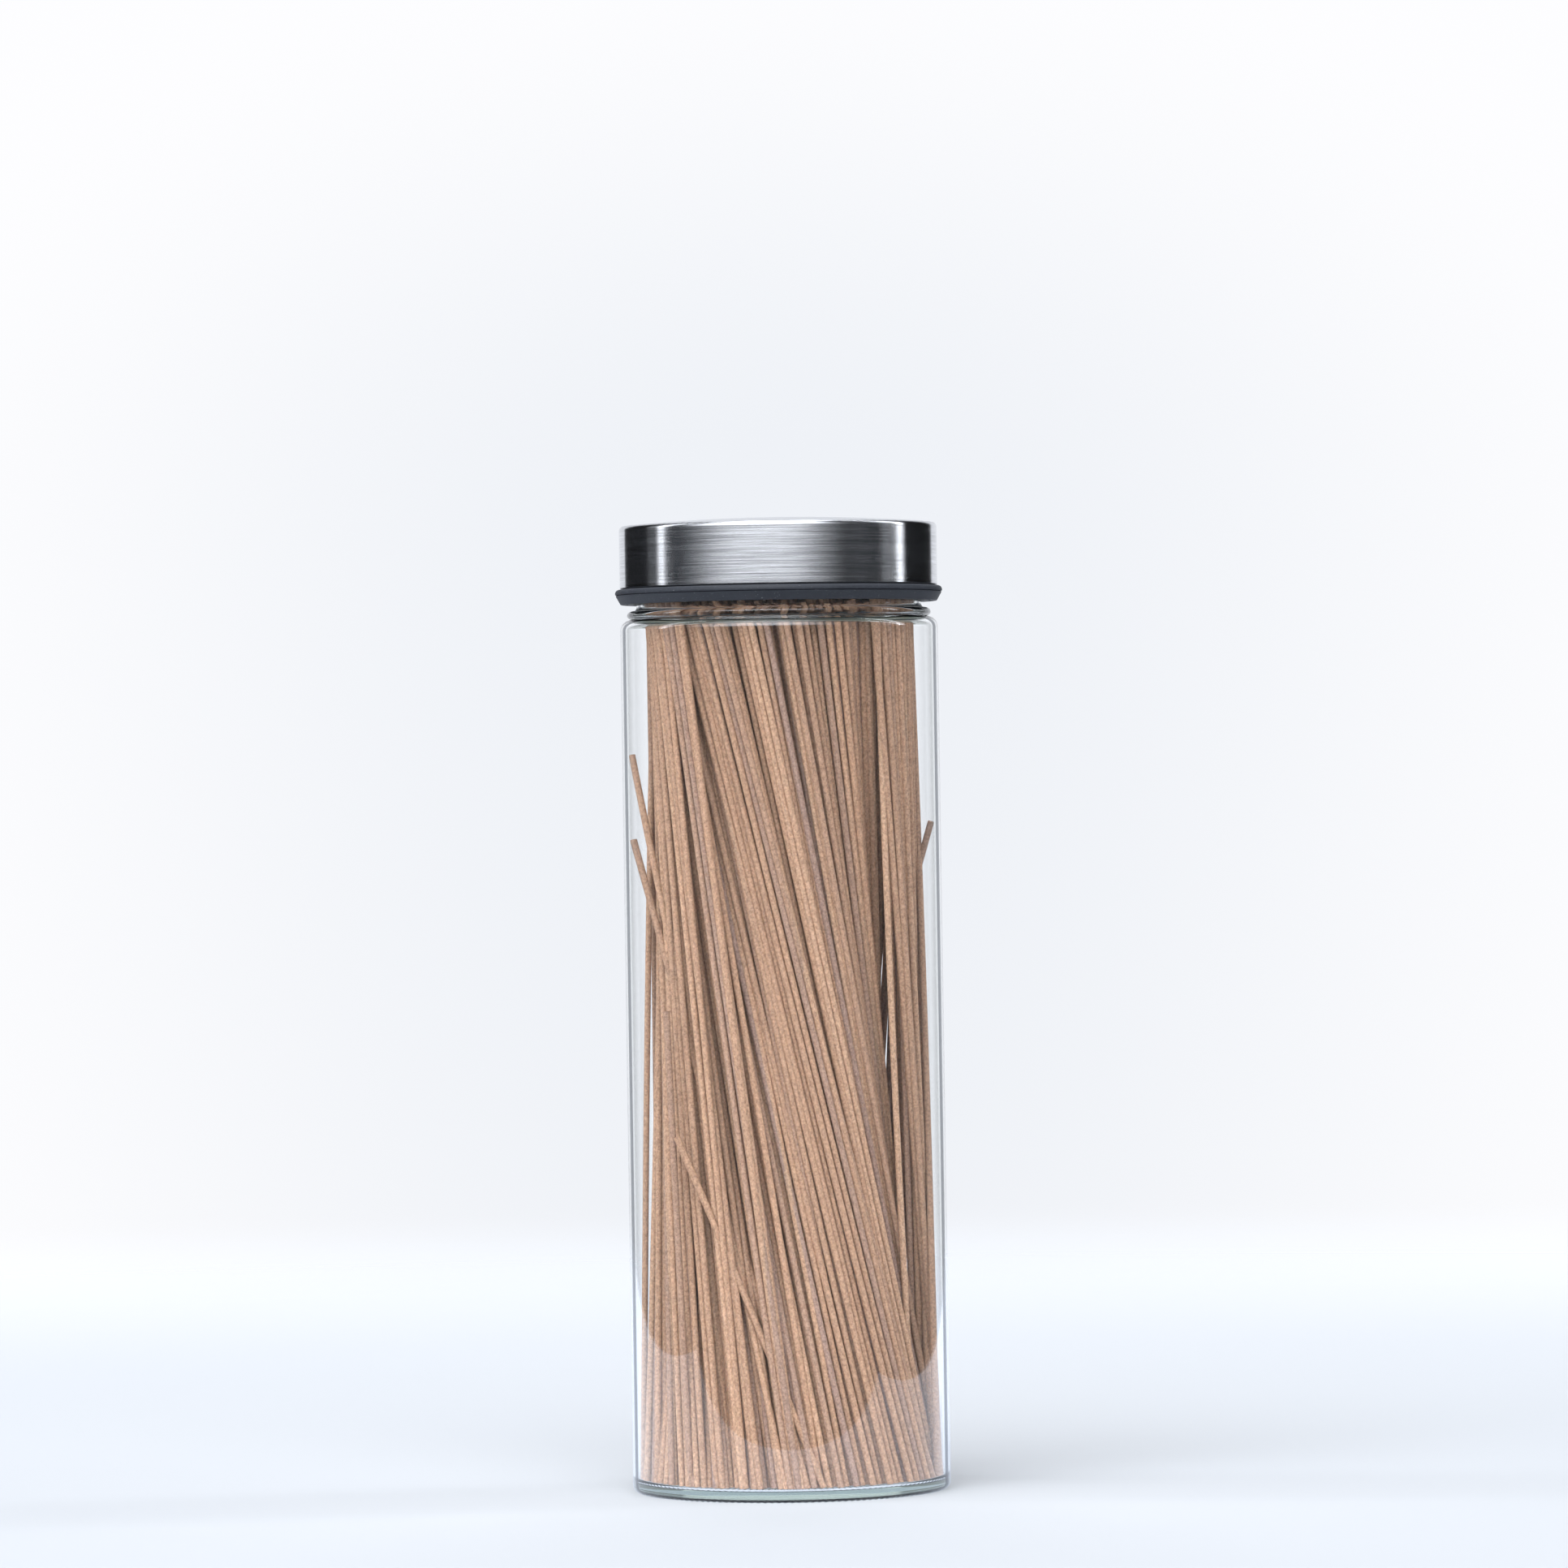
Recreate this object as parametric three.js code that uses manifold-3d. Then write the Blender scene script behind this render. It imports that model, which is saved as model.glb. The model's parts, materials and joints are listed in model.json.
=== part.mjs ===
// A lidded glass canister for long dry goods, in millimetres, +Z up.
// The origin is the centre of the plane that the jar stands on.
// The jar and the lid's pieces are bodies of revolution about Z, and their
// profiles are drawn as (radius, height).

import * as THREE from 'three';
import { mergeVertices } from 'three/addons/utils/BufferGeometryUtils.js';
import Module from 'manifold-3d';

// ---- jar ----
const jarRadius = 46;
const jarWall = 1.5;
const jarFloor = 2.4;              // glass between the hollow foot and the inside
const shoulderZ = 252.6;           // top of the rounded shoulder
const shoulderRound = 3.2;
const baseRound = 2;               // outer corner at the foot of the jar
const insideBaseRound = 1.6;
const footRecess = 0.8;            // depth of the hollow under the jar
const footWidth = 7;               // flat ring that the jar stands on
const footSlope = 3;               // slope from that ring into the hollow

// ---- neck ----
const neckStep = 4.7;              // how much narrower the neck is than the jar
const neckWall = 1.6;
const neckHeight = 19.6;           // from the shoulder to the rim
const neckBlend = 1;               // height of the blend between bead and neck
const neckInsideRound = 0.8;
const rimRound = 0.9;
const beadStep = 0.2;              // flat between the shoulder's curve and the bead
const beadDepth = 1.4;
const beadHeight = 2.5;

// ---- steel cap ----
const capWall = 0.6;
const capHeadroom = 5.1;           // from the lid's deck to the start of the dome
const capCrown = 1.9;              // rise of the domed top
const capRound = 1.3;

// ---- grip ring ----
const gripHeight = 4.4;
const gripReach = 1.4;             // how far the ring stands out past the steel cap
const gripTaper = 1.4;             // how much narrower the ring is at its lower edge
const gripLip = 1.2;               // rounding of its upper lip
const gripFootRound = 0.4;
const tongueDepth = 0.8;           // tongue that holds the ring in the skirt
const tongueHeight = 1.4;

// ---- lid body ----
const skirtWall = 1.8;
const skirtLeadIn = 0.6;           // chamfer that guides the skirt over the neck
const deckThickness = 2;
const plugDepth = 10.4;            // how far the plug reaches below the jar's rim
const plugWall = 2.6;
const plugFloor = 2;
const plugRound = 1;
const ribCount = 8;
const ribThickness = 1.4;
const hubRadius = 6;

// ---- seal ----
const sealHeight = 6.4;
const sealLift = 1.6;              // from the plug's lower edge to the seal's groove
const sealFoot = 1;                // depth of that groove
const finCount = 3;
const finThickness = 0.8;
const finTip = 0.4;
const finLean = 0.5;               // how far each fin's tip rises above its root

// ---- clearances ----
const fitGap = 0.3;                // between pieces that touch
const neckPlay = 0.6;              // between the lid's skirt and the neck
const beadPlay = 1.9;              // between the bead and the grip ring
const plugPlay = 1.6;              // between the plug and the inside of the neck
const rimPlay = 0.4;               // between the rim and the lid's deck

// ---- fineness ----
const turnSteps = 48;
const arcSteps = 2;                // half the number of chords in each arc
const crownSteps = 4;
const mergeDistance = 1e-3;

// ---- heights and radii that follow ----
const neckRadius = jarRadius - neckStep;
const neckInside = neckRadius - neckWall;
const jarInside = jarRadius - jarWall;
const floorZ = footRecess + jarFloor;
const rimZ = shoulderZ + neckHeight;
const beadTopZ = shoulderZ + beadHeight;
const gripBottomZ = beadTopZ + beadPlay;
const gripTopZ = gripBottomZ + gripHeight;
const capRadius = jarRadius;
const capBottomZ = gripTopZ + fitGap;
const skirtInside = neckRadius + neckPlay;
const skirtOutside = skirtInside + skirtWall;
const lidRadius = capRadius - capWall - fitGap;
const lidWallInside = lidRadius - skirtWall;
const deckBottomZ = rimZ + rimPlay;
const deckTopZ = deckBottomZ + deckThickness;
const capRimZ = deckTopZ + capHeadroom;
const lidTopZ = capRimZ - capWall - fitGap;
const plugRadius = neckInside - plugPlay;
const plugInside = plugRadius - plugWall;
const plugBottomZ = rimZ - plugDepth;
const plugFloorZ = plugBottomZ + plugFloor;
const sealBottomZ = plugBottomZ + sealLift;
const sealTopZ = sealBottomZ + sealHeight;
const tongueBottomZ = gripBottomZ + (gripHeight - tongueHeight) / 2;

const wasm = await Module();
wasm.setup();

// ---- solids ----
function turn(outline) {
  const geometry = new THREE.LatheGeometry(outline, turnSteps);
  geometry.rotateX(Math.PI / 2);
  return geometry;
}

function outlineOf(path) {
  return path.getPoints(arcSteps);
}

function closed(outline) {
  return [...outline, outline[0].clone()];
}

// Triangles that close to a line where a profile meets the axis are left out.
function toSolid(geometry) {
  const bare = geometry.clone();
  bare.deleteAttribute('normal');
  bare.deleteAttribute('uv');
  const merged = mergeVertices(bare, mergeDistance);
  const corners = merged.index.array;
  const triangles = [];
  for (let i = 0; i < corners.length; i += 3) {
    const [a, b, c] = corners.slice(i, i + 3);
    if (a !== b && b !== c && c !== a) triangles.push(a, b, c);
  }
  const mesh = new wasm.Mesh({
    numProp: 3,
    vertProperties: new Float32Array(merged.attributes.position.array),
    triVerts: new Uint32Array(triangles),
  });
  return new wasm.Manifold(mesh);
}

function toGeometry(solid) {
  const mesh = solid.getMesh();
  const geometry = new THREE.BufferGeometry();
  geometry.setAttribute('position', new THREE.BufferAttribute(mesh.vertProperties, 3));
  geometry.setIndex(new THREE.BufferAttribute(mesh.triVerts, 1));
  geometry.computeVertexNormals();
  return geometry;
}

// ---- materials ----
function clearGlass() {
  return new THREE.MeshStandardMaterial({
    color: 0xe3ebea,
    roughness: 0.04,
    metalness: 0,
    transparent: true,
    opacity: 0.35,
  });
}

function brushedSteel() {
  return new THREE.MeshStandardMaterial({ color: 0xbfc1c4, roughness: 0.34, metalness: 1 });
}

function slateSilicone() {
  return new THREE.MeshStandardMaterial({ color: 0x3f434b, roughness: 0.72, metalness: 0 });
}

function greyPlastic() {
  return new THREE.MeshStandardMaterial({ color: 0x5a5e66, roughness: 0.5, metalness: 0 });
}

function paleSilicone() {
  return new THREE.MeshStandardMaterial({ color: 0xc9ccd0, roughness: 0.55, metalness: 0 });
}

// ---- sub-parts ----

// One blown body: hollow foot, straight wall, rounded shoulder, bead and neck.
function glassJar() {
  const footOutside = jarRadius - baseRound;
  const footInside = footOutside - footWidth;
  const shoulderEnd = jarRadius - shoulderRound;
  const beadFoot = shoulderEnd - beadStep;
  const insideEnd = neckInside + neckInsideRound;
  const insideTopZ = shoulderZ - jarWall;
  const quarter = Math.PI / 2;

  const path = new THREE.Path();
  path.moveTo(0, footRecess);
  path.lineTo(footInside - footSlope, footRecess);
  path.lineTo(footInside, 0);
  path.absarc(footOutside, baseRound, baseRound, -quarter, 0, false);
  path.absarc(shoulderEnd, shoulderZ - shoulderRound, shoulderRound, 0, quarter, false);
  path.absellipse(beadFoot, shoulderZ + beadHeight / 2, beadDepth, beadHeight / 2,
    -quarter, quarter, false, 0);
  path.absellipse(beadFoot, beadTopZ + neckBlend, beadFoot - neckRadius, neckBlend,
    -quarter, -2 * quarter, true, 0);
  path.absellipse(neckRadius - neckWall / 2, rimZ - rimRound, neckWall / 2, rimRound,
    0, 2 * quarter, false, 0);
  path.absarc(insideEnd, insideTopZ + neckInsideRound, neckInsideRound,
    2 * quarter, 3 * quarter, false);
  path.absarc(shoulderEnd, shoulderZ - shoulderRound, shoulderRound - jarWall,
    quarter, 0, true);
  path.absarc(jarInside - insideBaseRound, floorZ + insideBaseRound, insideBaseRound,
    0, -quarter, true);
  path.lineTo(0, floorZ);
  return turn(outlineOf(path));
}

// Points of a shallow dome, from its edge to just before the axis.
function dome(edgeRadius, edgeZ, rise) {
  const points = [];
  for (let i = 0; i < crownSteps; i += 1) {
    const share = 1 - i / crownSteps;
    points.push(new THREE.Vector2(edgeRadius * share, edgeZ + rise * (1 - share * share)));
  }
  return points;
}

// A thin drawn shell, open below, with a slightly domed top.
function steelCap() {
  const crownEdge = capRadius - capRound;
  const innerRound = capRound - capWall;
  const innerTopZ = capRimZ - capWall;
  const quarter = Math.PI / 2;

  const side = new THREE.Path();
  side.moveTo(crownEdge, innerTopZ);
  side.absarc(crownEdge, innerTopZ - innerRound, innerRound, quarter, 0, true);
  side.lineTo(capRadius - capWall, capBottomZ);
  side.lineTo(capRadius, capBottomZ);
  side.absarc(crownEdge, capRimZ - capRound, capRound, 0, quarter, false);

  const under = dome(crownEdge, innerTopZ, capCrown).slice(1).reverse();
  const over = dome(crownEdge, capRimZ, capCrown).slice(1);
  return turn([
    new THREE.Vector2(0, innerTopZ + capCrown),
    ...under,
    ...outlineOf(side),
    ...over,
    new THREE.Vector2(0, capRimZ + capCrown),
  ]);
}

// Soft ring under the cap's edge, to pull the lid off by. It tapers downwards.
function gripRing() {
  const inside = skirtOutside + fitGap;
  const widest = capRadius + gripReach;
  const narrow = widest - gripTaper;
  const quarter = Math.PI / 2;

  const path = new THREE.Path();
  path.moveTo(inside, gripBottomZ);
  path.lineTo(narrow - gripFootRound, gripBottomZ);
  path.absarc(narrow - gripFootRound, gripBottomZ + gripFootRound, gripFootRound,
    -quarter, 0, false);
  path.absarc(widest - gripLip, gripTopZ - gripLip, gripLip, 0, quarter, false);
  path.lineTo(inside, gripTopZ);
  path.lineTo(inside, tongueBottomZ + tongueHeight);
  path.lineTo(inside - tongueDepth, tongueBottomZ + tongueHeight);
  path.lineTo(inside - tongueDepth, tongueBottomZ);
  path.lineTo(inside, tongueBottomZ);
  return turn(closed(outlineOf(path)));
}

// Radial webs and a hub that stiffen the plug's floor under the cap.
function plugRibs() {
  const height = deckTopZ - plugBottomZ - plugFloor / 2;
  const middleZ = deckTopZ - height / 2;
  const length = plugInside + (plugWall - sealFoot - fitGap) / 2;
  const hub = new THREE.CylinderGeometry(hubRadius, hubRadius, height, turnSteps / 2);
  hub.rotateX(Math.PI / 2);
  hub.translate(0, 0, middleZ);
  let ribs = toSolid(hub);
  for (let i = 0; i < ribCount; i += 1) {
    const rib = new THREE.BoxGeometry(length, ribThickness, height);
    rib.translate(length / 2, 0, middleZ);
    rib.rotateZ((2 * Math.PI * i) / ribCount);
    ribs = ribs.add(toSolid(rib));
  }
  return ribs;
}

// Moulded core of the lid: skirt over the neck, deck over the rim, plug in the mouth.
function lidBody() {
  const quarter = Math.PI / 2;
  const topChamfer = capRound;

  const path = new THREE.Path();
  path.moveTo(0, plugBottomZ);
  path.lineTo(plugRadius - plugRound, plugBottomZ);
  path.absarc(plugRadius - plugRound, plugBottomZ + plugRound, plugRound, -quarter, 0, false);
  path.lineTo(plugRadius, sealBottomZ - fitGap);
  path.lineTo(plugRadius - sealFoot - fitGap, sealBottomZ - fitGap);
  path.lineTo(plugRadius - sealFoot - fitGap, sealTopZ + fitGap);
  path.lineTo(plugRadius, sealTopZ + fitGap);
  path.lineTo(plugRadius, deckBottomZ);
  path.lineTo(skirtInside, deckBottomZ);
  path.lineTo(skirtInside, gripBottomZ + skirtLeadIn);
  path.lineTo(skirtInside + skirtLeadIn, gripBottomZ);
  path.lineTo(skirtOutside, gripBottomZ);
  path.lineTo(skirtOutside, tongueBottomZ - fitGap);
  path.lineTo(skirtOutside - tongueDepth, tongueBottomZ - fitGap);
  path.lineTo(skirtOutside - tongueDepth, tongueBottomZ + tongueHeight + fitGap);
  path.lineTo(skirtOutside, tongueBottomZ + tongueHeight + fitGap);
  path.lineTo(skirtOutside, capBottomZ);
  path.lineTo(lidRadius, capBottomZ);
  path.lineTo(lidRadius, lidTopZ - topChamfer);
  path.lineTo(lidRadius - topChamfer, lidTopZ);
  path.lineTo(lidWallInside, lidTopZ);
  path.lineTo(lidWallInside, deckTopZ);
  path.lineTo(plugInside, deckTopZ);
  path.lineTo(plugInside, plugFloorZ);
  path.lineTo(0, plugFloorZ);
  return toGeometry(toSolid(turn(outlineOf(path))).add(plugRibs()));
}

// Soft seal in the plug's groove. Its fins lean upwards and wipe the inside of the neck.
function plugSeal() {
  const foot = plugRadius - sealFoot;
  const reach = neckInside - fitGap;
  const pitch = sealHeight / finCount;

  const path = new THREE.Path();
  path.moveTo(foot, sealBottomZ);
  path.lineTo(plugRadius, sealBottomZ);
  for (let i = 0; i < finCount; i += 1) {
    const rootZ = sealBottomZ + (i + 0.5) * pitch - finThickness / 2;
    path.lineTo(plugRadius, rootZ);
    path.lineTo(reach, rootZ + finLean);
    path.lineTo(reach, rootZ + finLean + finTip);
    path.lineTo(plugRadius, rootZ + finThickness);
  }
  path.lineTo(plugRadius, sealTopZ);
  path.lineTo(foot, sealTopZ);
  return turn(closed(outlineOf(path)));
}

// ---- assembly ----
function piece(name, geometry, material) {
  const mesh = new THREE.Mesh(geometry, material);
  mesh.name = name;
  return mesh;
}

const jar = new THREE.Group();
jar.add(piece('glass_jar', glassJar(), clearGlass()));

const lid = new THREE.Group();
lid.add(piece('steel_cap', steelCap(), brushedSteel()));
lid.add(piece('lid_body', lidBody(), greyPlastic()));
lid.add(piece('grip_ring', gripRing(), slateSilicone()));
lid.add(piece('plug_seal', plugSeal(), paleSilicone()));

const canister = new THREE.Group();
canister.add(jar, lid);

export default canister;
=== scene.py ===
import json
import math
import random
import bpy
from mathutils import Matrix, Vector

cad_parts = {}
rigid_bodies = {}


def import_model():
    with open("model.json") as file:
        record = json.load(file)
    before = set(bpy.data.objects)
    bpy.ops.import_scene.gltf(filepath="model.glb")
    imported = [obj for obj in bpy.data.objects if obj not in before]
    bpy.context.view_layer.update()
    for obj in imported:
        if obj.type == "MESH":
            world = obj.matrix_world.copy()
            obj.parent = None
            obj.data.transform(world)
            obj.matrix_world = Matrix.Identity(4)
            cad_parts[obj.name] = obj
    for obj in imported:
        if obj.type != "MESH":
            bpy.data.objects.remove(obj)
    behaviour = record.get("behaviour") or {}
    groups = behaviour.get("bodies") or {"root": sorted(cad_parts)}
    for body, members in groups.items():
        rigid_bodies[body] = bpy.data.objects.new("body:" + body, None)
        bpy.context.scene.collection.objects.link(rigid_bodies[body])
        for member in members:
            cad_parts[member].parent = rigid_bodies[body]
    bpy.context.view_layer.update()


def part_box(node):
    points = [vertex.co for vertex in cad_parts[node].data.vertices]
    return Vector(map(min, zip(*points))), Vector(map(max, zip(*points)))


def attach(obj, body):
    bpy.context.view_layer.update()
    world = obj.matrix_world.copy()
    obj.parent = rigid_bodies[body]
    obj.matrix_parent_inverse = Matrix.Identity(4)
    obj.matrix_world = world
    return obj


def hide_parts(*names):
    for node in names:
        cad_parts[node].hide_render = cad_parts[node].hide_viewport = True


for leftOver in list(bpy.data.objects):
    bpy.data.objects.remove(leftOver)

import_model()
mm = 0.001
onAxis = 0.01 * mm             # a profile point this close to the axis is on it
print("frame loaded")


# ---- shared helpers ----

def arcPoints(centreR, centreZ, reachR, reachZ, start, end, steps):
    points = []
    for i in range(steps + 1):
        angle = math.radians(start + (end - start) * i / steps)
        points.append((centreR + reachR * math.cos(angle), centreZ + reachZ * math.sin(angle)))
    return points


def bracedProfile(profile, ringed, nearEnd=0.12 * mm, longSide=1.0 * mm):
    # extra points close to the ends of long sides keep the smooth shading flat along them
    braced = []
    count = len(profile)
    for i, (r, z) in enumerate(profile):
        braced.append((r, z))
        if i == count - 1 and not ringed:
            break
        nextR, nextZ = profile[(i + 1) % count]
        length = math.hypot(nextR - r, nextZ - z)
        if length < longSide:
            continue
        for share in (nearEnd / length, 1 - nearEnd / length):
            braced.append((r + (nextR - r) * share, z + (nextZ - z) * share))
    return braced


def turnedMesh(name, profile, turns, ringed=False, lift=None, sharpAngle=40):
    profile = bracedProfile(profile, ringed)
    verts = []
    rings = []
    for r, z in profile:
        if r < onAxis:
            rings.append([len(verts)])
            verts.append((0, 0, z))
            continue
        ring = []
        for i in range(turns):
            angle = 2 * math.pi * i / turns
            rise = lift(r, z, angle) if lift else 0
            ring.append(len(verts))
            verts.append((r * math.cos(angle), r * math.sin(angle), z + rise))
        rings.append(ring)
    pairs = list(zip(rings, rings[1:]))
    if ringed:
        pairs.append((rings[-1], rings[0]))
    faces = []
    for lower, upper in pairs:
        for i in range(turns):
            j = (i + 1) % turns
            if len(lower) == 1:
                faces.append((lower[0], upper[j], upper[i]))
            elif len(upper) == 1:
                faces.append((lower[i], lower[j], upper[0]))
            else:
                faces.append((lower[i], lower[j], upper[j], upper[i]))
    return meshObject(name, verts, faces, sharpAngle)


def meshObject(name, verts, faces, sharpAngle):
    mesh = bpy.data.meshes.new(name)
    mesh.from_pydata(verts, [], faces)
    mesh.update()
    for face in mesh.polygons:
        face.use_smooth = True
    mesh.set_sharp_from_angle(angle=math.radians(sharpAngle))
    piece = bpy.data.objects.new(name, mesh)
    bpy.context.scene.collection.objects.link(piece)
    return piece


def newMaterial(name):
    material = bpy.data.materials.new(name)
    material.use_nodes = True
    tree = material.node_tree
    shader = tree.nodes["Principled BSDF"]
    return material, tree, shader


def addNode(tree, kind, **values):
    node = tree.nodes.new(kind)
    for key, value in values.items():
        if hasattr(node, key):
            setattr(node, key, value)
        else:
            node.inputs[key.replace("_", " ")].default_value = value
    return node


def stretchedNoise(tree, stretch, detail=3.0, roughness=0.55):
    place = addNode(tree, "ShaderNodeTexCoord")
    mapping = addNode(tree, "ShaderNodeMapping")
    mapping.inputs["Scale"].default_value = stretch
    noise = addNode(tree, "ShaderNodeTexNoise")
    noise.inputs["Scale"].default_value = 1.0
    noise.inputs["Detail"].default_value = detail
    noise.inputs["Roughness"].default_value = roughness
    tree.links.new(place.outputs["Object"], mapping.inputs["Vector"])
    tree.links.new(mapping.outputs["Vector"], noise.inputs["Vector"])
    return noise


def ramp(tree, source, stops):
    node = addNode(tree, "ShaderNodeValToRGB")
    band = node.color_ramp
    while len(band.elements) < len(stops):
        band.elements.new(0.5)
    for element, (position, colour) in zip(band.elements, stops):
        element.position = position
        element.color = (*colour, 1)
    tree.links.new(source, node.inputs["Fac"])
    return node


def spread(tree, source, low, high, fromLow=0.0, fromHigh=1.0, smooth=False):
    node = addNode(tree, "ShaderNodeMapRange")
    node.interpolation_type = "SMOOTHSTEP" if smooth else "LINEAR"
    node.inputs["From Min"].default_value = fromLow
    node.inputs["From Max"].default_value = fromHigh
    node.inputs["To Min"].default_value = low
    node.inputs["To Max"].default_value = high
    tree.links.new(source, node.inputs["Value"])
    return node.outputs["Result"]


def sums(tree, operation, first, second):
    node = addNode(tree, "ShaderNodeMath")
    node.operation = operation
    for socket, value in zip(node.inputs, (first, second)):
        if isinstance(value, (int, float)):
            socket.default_value = value
        else:
            tree.links.new(value, socket)
    return node.outputs[0]


def bump(tree, shader, height, strength, distance):
    node = addNode(tree, "ShaderNodeBump")
    node.inputs["Strength"].default_value = strength
    node.inputs["Distance"].default_value = distance
    tree.links.new(height, node.inputs["Height"])
    tree.links.new(node.outputs["Normal"], shader.inputs["Normal"])
    return node


def finishPiece(piece, body, material, nodes=()):
    piece.data.materials.append(material)
    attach(piece, body)
    if nodes:
        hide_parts(*nodes)


# ---- camera ----

cameraSet = {
    "place": (0.0008, -2.299, 0.2083),
    "tiltDown": 0.095,         # degrees below level
    "roll": 0.87,
    "lens": 182.1,
    "sensor": 36.0,
    "nearest": 0.05,
    "farthest": 30,
}


def addCamera():
    data = bpy.data.cameras.new("camera")
    data.lens = cameraSet["lens"]
    data.sensor_width = cameraSet["sensor"]
    data.clip_start = cameraSet["nearest"]
    data.clip_end = cameraSet["farthest"]
    camera = bpy.data.objects.new("camera", data)
    camera.location = cameraSet["place"]
    level = 90 - cameraSet["tiltDown"]
    camera.rotation_euler = (math.radians(level), math.radians(cameraSet["roll"]), 0)
    bpy.context.scene.collection.objects.link(camera)
    bpy.context.scene.camera = camera
    bpy.context.scene.view_settings.view_transform = "Standard"


# ---- studio: surroundings, lamps and floor ----

# Each source is a soft patch of light round the object. Turn is in degrees, 0 towards
# the camera's side and positive to the right of it, and rise is above the horizon.
studioLights = {
    "backdrop": {"turn": 180, "halfWidth": 30, "soft": 3, "low": -60, "lowSoft": 4,
                 "high": 70, "highSoft": 15, "strength": 0.82},
    "frontBox": {"turn": -14, "halfWidth": 14, "soft": 56, "low": 14, "lowSoft": 12,
                 "high": 60, "highSoft": 10, "strength": 5.0},
    "leftStrip": {"turn": -95, "halfWidth": 1.6, "soft": 3.4, "low": 6, "lowSoft": 3,
                  "high": 66, "highSoft": 12, "strength": 5.2},
    "leftGlow": {"turn": -104, "halfWidth": 4, "soft": 5, "low": 6, "lowSoft": 3,
                 "high": 40, "highSoft": 14, "strength": 0.35},
    "rightStrip": {"turn": 101, "halfWidth": 1.8, "soft": 2.8, "low": 6, "lowSoft": 3,
                   "high": 66, "highSoft": 12, "strength": 7},
    "rightGlow": {"turn": 88, "halfWidth": 2, "soft": 7, "low": 6, "lowSoft": 3,
                  "high": 40, "highSoft": 14, "strength": 0.5},
    "sideFill": {"turn": 52, "halfWidth": 8, "soft": 22, "low": 6, "lowSoft": 3,
                 "high": 40, "highSoft": 14, "strength": 0.1},
}
surroundings = {
    "dark": 0.008,
    "throughGlass": 0.38,      # added where the surroundings are seen through the glass
    "forDiffuse": 0.68,         # share of the patches that lights matt surfaces
    "tint": (0.94, 0.965, 1.02),
    "ceilingLow": 66,
    "ceilingHigh": 78,
    "ceiling": 4.0,
    "seenNear": (0.862, 0.886, 0.930),     # backdrop behind the object, as the camera sees it
    "seenFar": (0.985, 0.985, 1.0),
    "nearAngle": 0.6,
    "farAngle": 7.5,
    "nearRise": 1.6,
    "upwardStretch": 1.6,
    "downwardStretch": 0.3,
}
lamps = {
    "keyLamp": {"place": (-2.1, -0.9, 0.7), "aim": (0, 0, 0.14), "size": 2.4, "power": 27},
    "fillLamp": {"place": (2.0, -0.5, 0.6), "aim": (0, 0, 0.14), "size": 1.2, "power": 9},
    "backLamp": {"place": (0, 1.9, 0.9), "aim": (0, 0, 0.14), "size": 1.6, "power": 8},
}
lampColour = (0.97, 0.98, 1.0)


def smoothBump(tree, value, edge, soft):
    return spread(tree, value, 1, 0, edge, edge + soft, smooth=True)


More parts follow.
